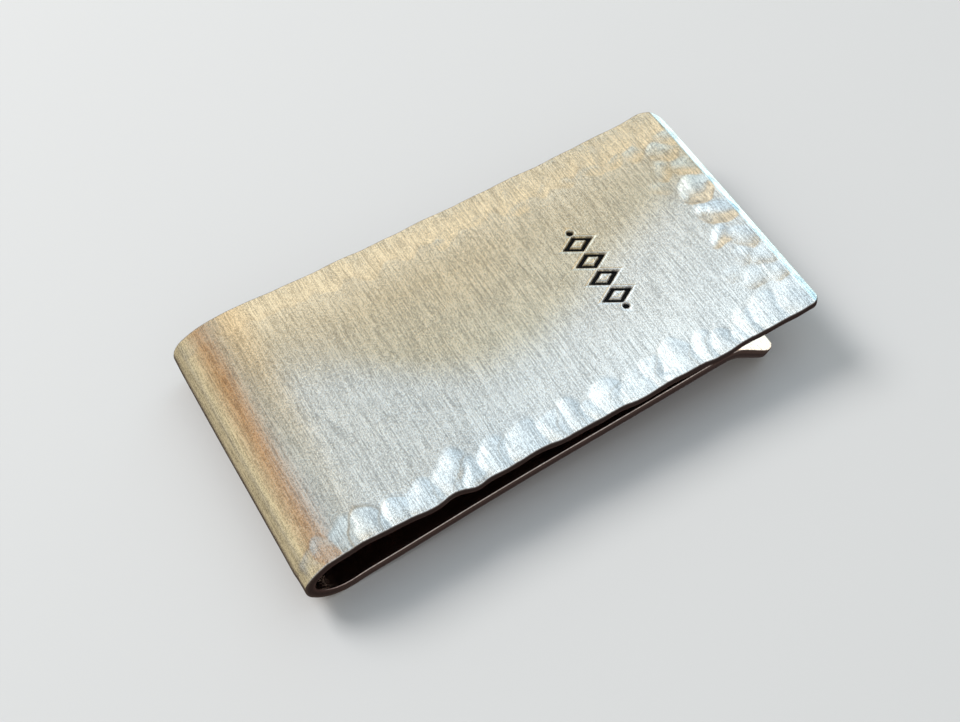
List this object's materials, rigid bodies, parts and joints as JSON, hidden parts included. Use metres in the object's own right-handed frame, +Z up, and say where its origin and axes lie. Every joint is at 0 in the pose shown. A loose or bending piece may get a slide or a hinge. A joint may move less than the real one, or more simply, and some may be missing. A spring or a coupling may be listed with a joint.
{
  "type": "money clip",
  "caption": "Folded spring money clip of hammered sheet silver: a long face plate, a round fold and a spring leg that pinches notes and ends in a flared lip.",
  "frame": {"origin": "middle of the bounding box, at the surface that the fold's belly and the lip's tip rest on", "axes": "+X from the fold to the open end, +Y across the width, +Z up through the leg to the face plate"},
  "size_m": [0.0486, 0.0254, 0.0064],
  "materials": {
    "sterling_silver": "fine brushed across the width, hammered along the edges, punched row oxidised dark; the metal is sterling silver"
  },
  "bodies": {
    "leg": {"leg_rear": "sterling_silver", "leg_front": "sterling_silver", "pinch_crest": "sterling_silver", "flared_lip": "sterling_silver"},
    "fold": {"fold_bend": "sterling_silver"},
    "plate": {"front_plate": "sterling_silver"}
  },
  "joints": [
    {"name": "belly_flex", "type": "hinge", "parent": "leg", "child": "fold", "pos_m": [-0.01989, 0, 0.00004], "axis": [0, -1, 0], "range_deg": [0, 3.5], "stiffness_Nm_per_rad": 7.8},
    {"name": "shoulder_flex", "type": "hinge", "parent": "fold", "child": "plate", "pos_m": [-0.01856, 0, 0.00622], "axis": [0, -1, 0], "range_deg": [0, 3.5], "stiffness_Nm_per_rad": 7.8}
  ],
  "couplings": [
    {"joint": "shoulder_flex", "follows": "belly_flex", "ratio": 1}
  ]
}
